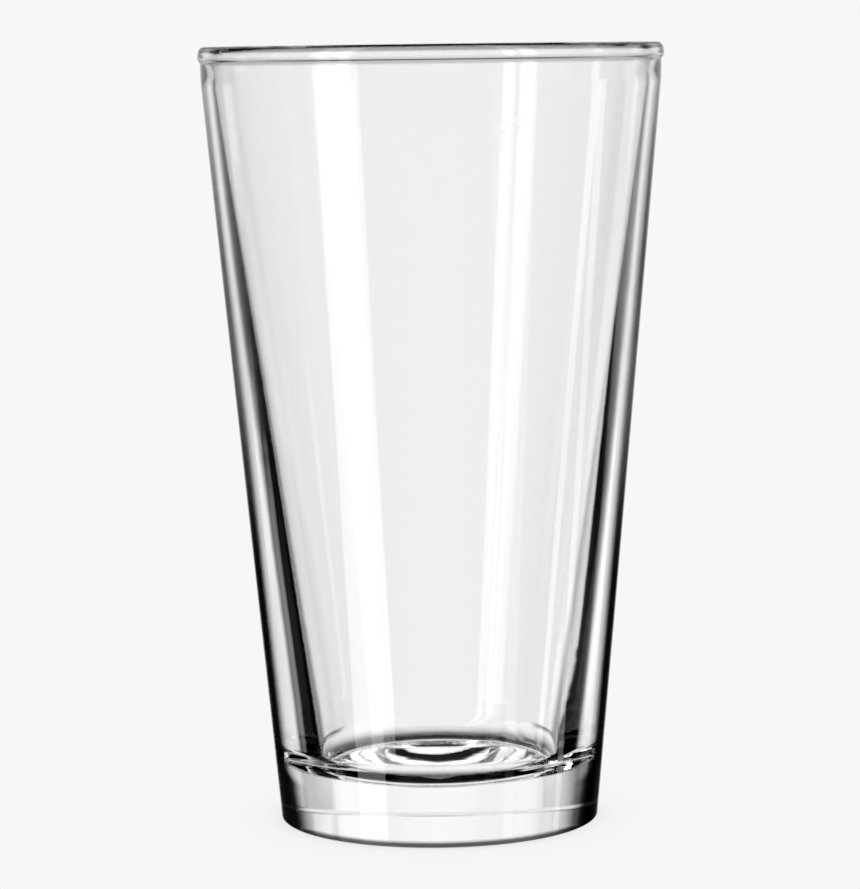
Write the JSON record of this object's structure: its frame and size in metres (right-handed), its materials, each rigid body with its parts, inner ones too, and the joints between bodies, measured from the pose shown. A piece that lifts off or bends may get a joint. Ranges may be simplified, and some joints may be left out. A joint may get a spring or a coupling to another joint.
{
  "type": "mixing glass",
  "caption": "Tapered clear mixing glass with a beaded mouth, walls that thicken towards the foot and a heavy solid base.",
  "frame": {"origin": "on the glass's axis, in the plane of the flat ring it stands on", "axes": "+Z along the axis, from the foot up to the mouth; X and Y are equivalent, since the glass is round"},
  "size_m": [0.0888, 0.0888, 0.1492],
  "materials": {
    "clear_glass": "clear colourless soda-lime glass, fire-polished and smooth inside and out"
  },
  "bodies": {
    "root": {"glass_body": "clear_glass"}
  },
  "joints": []
}
